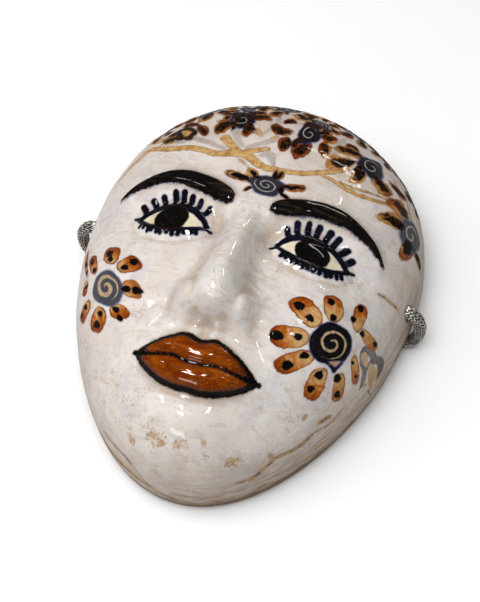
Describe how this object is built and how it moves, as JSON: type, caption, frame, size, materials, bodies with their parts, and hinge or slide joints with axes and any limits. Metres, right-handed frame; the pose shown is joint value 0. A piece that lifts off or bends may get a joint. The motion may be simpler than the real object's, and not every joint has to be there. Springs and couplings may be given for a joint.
{
  "type": "ceramic wall mask",
  "caption": "Hollow ceramic wall mask, face up, with a calm modelled face, brush-painted brows, lips and flowers on glossy off-white glaze, and a braided hanging cord.",
  "frame": {"origin": "on the surface that the rim rests on, under the middle of the shell", "axes": "+Z out of the face, +Y from the chin to the crown, +X to the viewer's right when the face is seen from the front"},
  "size_m": [0.1813, 0.2201, 0.0919],
  "materials": {
    "glaze": "glossy off-white tin glaze with warm grey and tan mottling, brush-painted in black, cobalt, ochre and orange-brown; bare brown clay along the rim",
    "cord": "braided metallic silver yarn with dark gaps"
  },
  "bodies": {
    "root": {"mask_shell": "glaze", "hanging_cord": "cord", "knot_left": "cord", "knot_right": "cord"}
  },
  "joints": []
}
